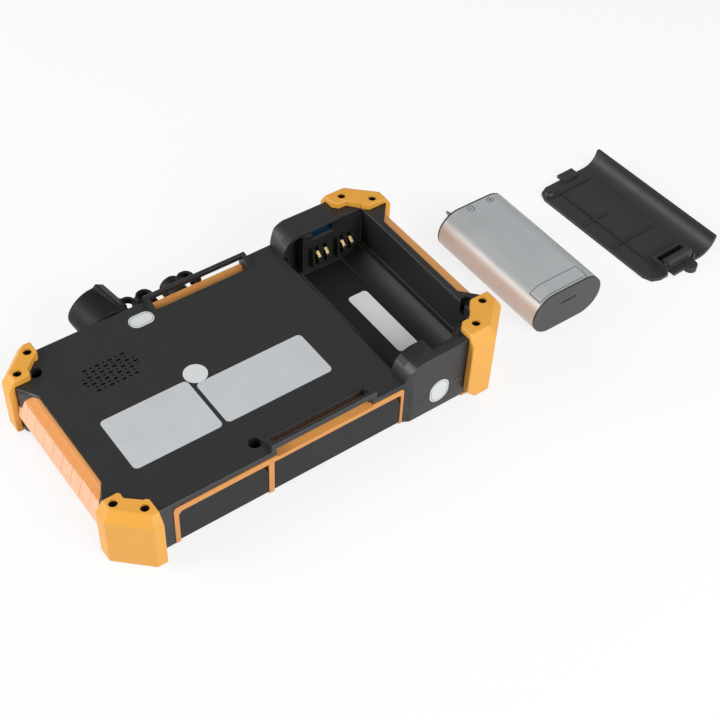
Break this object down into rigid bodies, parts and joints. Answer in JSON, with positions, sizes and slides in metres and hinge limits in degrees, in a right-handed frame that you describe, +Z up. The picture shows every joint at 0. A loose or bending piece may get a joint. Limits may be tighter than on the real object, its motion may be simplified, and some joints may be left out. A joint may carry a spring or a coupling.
{
  "type": "optical time domain reflectometer",
  "caption": "Handheld fibre tester lying face down, with soft corner guards, capped optical ports, flaps over its sockets and its battery and cover set beside it.",
  "frame": {"origin": "on the table under the middle of the footprint of the whole set: case, battery pack and cover", "axes": "+X along the case from the handle end to the battery end and on to the pack and the cover, +Y from the flaps to the optical ports, +Z up from the table, towards the back of the case"},
  "size_m": [0.3216, 0.1256, 0.0384],
  "materials": {
    "shell": "fine moulded grain",
    "guard": "satin soft plastic",
    "grip": "soft ribbed rubber",
    "trim": "satin",
    "flap": "matt rubber",
    "dark_screw": "black oxide",
    "steel": "plain",
    "socket": "moulded",
    "nickel": "nickel plate",
    "ceramic": "white zirconia",
    "cap_rubber": "matt rubber",
    "screen_glass": "gloss",
    "screen": "dark display",
    "board": "solder mask",
    "can": "plain",
    "fibre": "coated fibre",
    "speaker_cone": "paper cone",
    "cloth": "fine black cloth",
    "key": "silicone",
    "key_orange": "silicone",
    "lamp": "clear light pipe",
    "teal": "moulded",
    "gold": "gold plate",
    "label": "satin label film",
    "sleeve": "shrink sleeve",
    "battery_end": "moulded",
    "cell": "nickel-plated can",
    "cover": "fine moulded grain"
  },
  "bodies": {
    "root": {"front_shell": "shell", "back_shell": "shell", "guard_left_near": "guard", "guard_left_far": "guard", "guard_right_near": "guard", "guard_right_far": "guard", "guard_screws": "dark_screw", "case_screws": "dark_screw", "grip_left": "grip", "grip_right": "grip", "trim_frame_near": "trim", "trim_frame_far": "trim", "flap_hinge_pin": "steel", "port_panel": "flap", "optical_ports": "nickel", "port_ferrules": "ceramic", "tether_anchors": "cap_rubber", "display_glass": "screen_glass", "display_module": "screen", "main_board": "board", "power_socket": "socket", "usb_sockets": "steel", "ethernet_sockets": "socket", "card_slot": "steel", "optical_module": "can", "fibre_coil": "fibre", "light_detector": "can", "red_laser": "nickel", "speaker": "speaker_cone", "speaker_cloth": "cloth", "key_board": "board", "status_lamps": "lamp", "cover_catch": "teal", "contact_blocks": "socket", "bare_labels": "label", "seals": "label"},
    "battery_pack": {"battery_sleeve": "sleeve", "battery_end_caps": "battery_end", "battery_pads": "gold", "battery_cells": "cell", "battery_tab": "battery_end"},
    "cover": {"battery_cover": "cover"},
    "latch": {"cover_latch": "cover"},
    "power_flap": {"flap_power": "flap"},
    "data_flap": {"flap_data": "flap"},
    "cap_fibre": {"fibre_cap": "cap_rubber"},
    "cap_meter": {"meter_cap": "cap_rubber"},
    "cap_laser": {"laser_cap": "cap_rubber"},
    "ok_key_body": {"ok_key": "key"},
    "up_key_body": {"up_key": "key"},
    "down_key_body": {"down_key": "key"},
    "left_key_body": {"left_key": "key"},
    "right_key_body": {"right_key": "key"},
    "test_key_body": {"test_key": "key_orange"},
    "back_key_body": {"back_key": "key"},
    "power_key_body": {"power_key": "key"},
    "contacts_left_body": {"contacts_left": "gold"},
    "contacts_right_body": {"contacts_right": "gold"}
  },
  "joints": [
    {"name": "battery_lift", "type": "slide", "parent": "root", "child": "battery_pack", "axis": [0, 0, 1], "range_m": [0, 0.06]},
    {"name": "cover_lift", "type": "slide", "parent": "root", "child": "cover", "axis": [0, 0, 1], "range_m": [0, 0.06]},
    {"name": "latch_press", "type": "slide", "parent": "cover", "child": "latch", "axis": [-0.0332, 0.9995, 0], "range_m": [0, 0.0018], "stiffness_N_per_m": 900},
    {"name": "power_flap_hinge", "type": "hinge", "parent": "root", "child": "power_flap", "pos_m": [-0.11332, -0.05649, 0.0033], "axis": [1, 0, 0], "range_deg": [0, 92]},
    {"name": "data_flap_hinge", "type": "hinge", "parent": "root", "child": "data_flap", "pos_m": [-0.06032, -0.05649, 0.0033], "axis": [1, 0, 0], "range_deg": [0, 92]},
    {"name": "fibre_cap_pull", "type": "slide", "parent": "root", "child": "cap_fibre", "axis": [-0.2634, 0.9307, 0.2538], "range_m": [0, 0.016]},
    {"name": "meter_cap_pull", "type": "slide", "parent": "root", "child": "cap_meter", "axis": [0, 1, 0], "range_m": [0, 0.012]},
    {"name": "laser_cap_pull", "type": "slide", "parent": "root", "child": "cap_laser", "axis": [0, 1, 0], "range_m": [0, 0.012]},
    {"name": "ok_key_press", "type": "slide", "parent": "root", "child": "ok_key_body", "axis": [0, 0, 1], "range_m": [0, 0.0006], "stiffness_N_per_m": 1500},
    {"name": "up_key_press", "type": "slide", "parent": "root", "child": "up_key_body", "axis": [0, 0, 1], "range_m": [0, 0.0006], "stiffness_N_per_m": 1500},
    {"name": "down_key_press", "type": "slide", "parent": "root", "child": "down_key_body", "axis": [0, 0, 1], "range_m": [0, 0.0006], "stiffness_N_per_m": 1500},
    {"name": "left_key_press", "type": "slide", "parent": "root", "child": "left_key_body", "axis": [0, 0, 1], "range_m": [0, 0.0006], "stiffness_N_per_m": 1500},
    {"name": "right_key_press", "type": "slide", "parent": "root", "child": "right_key_body", "axis": [0, 0, 1], "range_m": [0, 0.0006], "stiffness_N_per_m": 1500},
    {"name": "test_key_press", "type": "slide", "parent": "root", "child": "test_key_body", "axis": [0, 0, 1], "range_m": [0, 0.0006], "stiffness_N_per_m": 1500},
    {"name": "back_key_press", "type": "slide", "parent": "root", "child": "back_key_body", "axis": [0, 0, 1], "range_m": [0, 0.0006], "stiffness_N_per_m": 1500},
    {"name": "power_key_press", "type": "slide", "parent": "root", "child": "power_key_body", "axis": [0, 0, 1], "range_m": [0, 0.0006], "stiffness_N_per_m": 1500},
    {"name": "contacts_left_press", "type": "slide", "parent": "root", "child": "contacts_left_body", "axis": [0, 1, 0], "range_m": [0, 0.0015], "stiffness_N_per_m": 800},
    {"name": "contacts_right_press", "type": "slide", "parent": "root", "child": "contacts_right_body", "axis": [0, 1, 0], "range_m": [0, 0.0015], "stiffness_N_per_m": 800}
  ]
}
